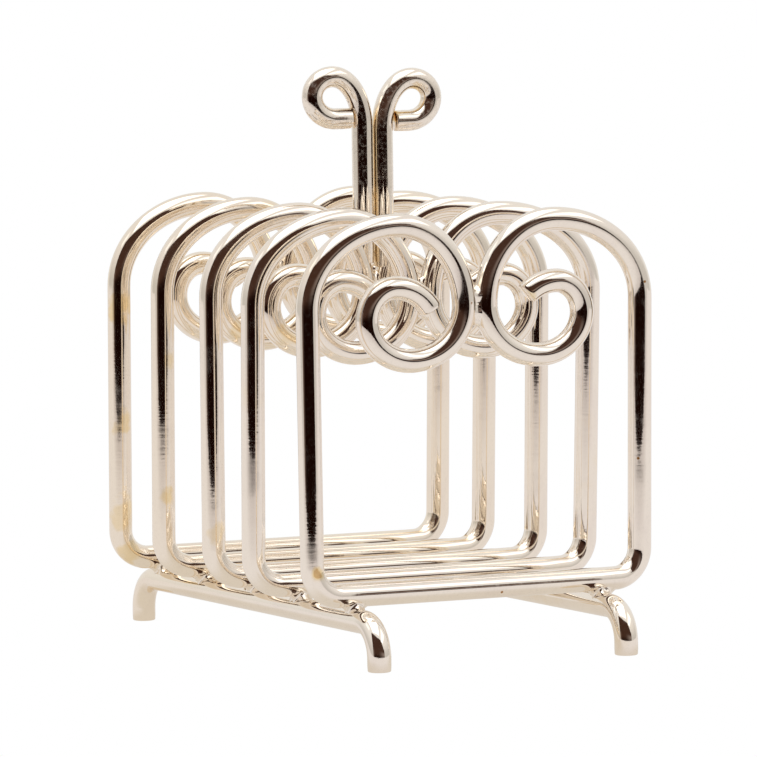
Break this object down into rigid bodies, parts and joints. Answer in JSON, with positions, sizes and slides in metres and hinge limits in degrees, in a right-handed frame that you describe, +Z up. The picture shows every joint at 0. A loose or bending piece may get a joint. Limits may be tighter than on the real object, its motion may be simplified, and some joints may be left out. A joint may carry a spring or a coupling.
{
  "type": "toast rack",
  "caption": "Free-standing wire toast rack: upright dividers bent into paired scrolls, brazed across two footed base rails, with a two-loop carrying handle.",
  "frame": {"origin": "on the plane that the feet stand on, under the middle of the rack", "axes": "+X across the rack to the right, +Y from the front divider to the back one, +Z up from the feet to the handle"},
  "size_m": [0.084, 0.1216, 0.1228],
  "materials": {
    "plated_wire": "polished silver plate, slightly tarnished",
    "handle_wire": "polished silver plate, a little rougher and worn",
    "braze": "dull plated braze metal"
  },
  "bodies": {
    "root": {"base_rail_left": "plated_wire", "base_rail_right": "plated_wire", "divider_1": "plated_wire", "divider_2": "plated_wire", "divider_3": "plated_wire", "divider_4": "plated_wire", "divider_5": "plated_wire", "handle_braze_left": "braze", "handle_braze_right": "braze", "handle_wire_left": "handle_wire", "handle_wire_right": "handle_wire", "rail_braze_left_1": "braze", "rail_braze_left_2": "braze", "rail_braze_left_3": "braze", "rail_braze_left_4": "braze", "rail_braze_left_5": "braze", "rail_braze_right_1": "braze", "rail_braze_right_2": "braze", "rail_braze_right_3": "braze", "rail_braze_right_4": "braze", "rail_braze_right_5": "braze", "scroll_braze_1": "braze", "scroll_braze_2": "braze", "scroll_braze_3": "braze", "scroll_braze_4": "braze", "scroll_braze_5": "braze"}
  },
  "joints": []
}
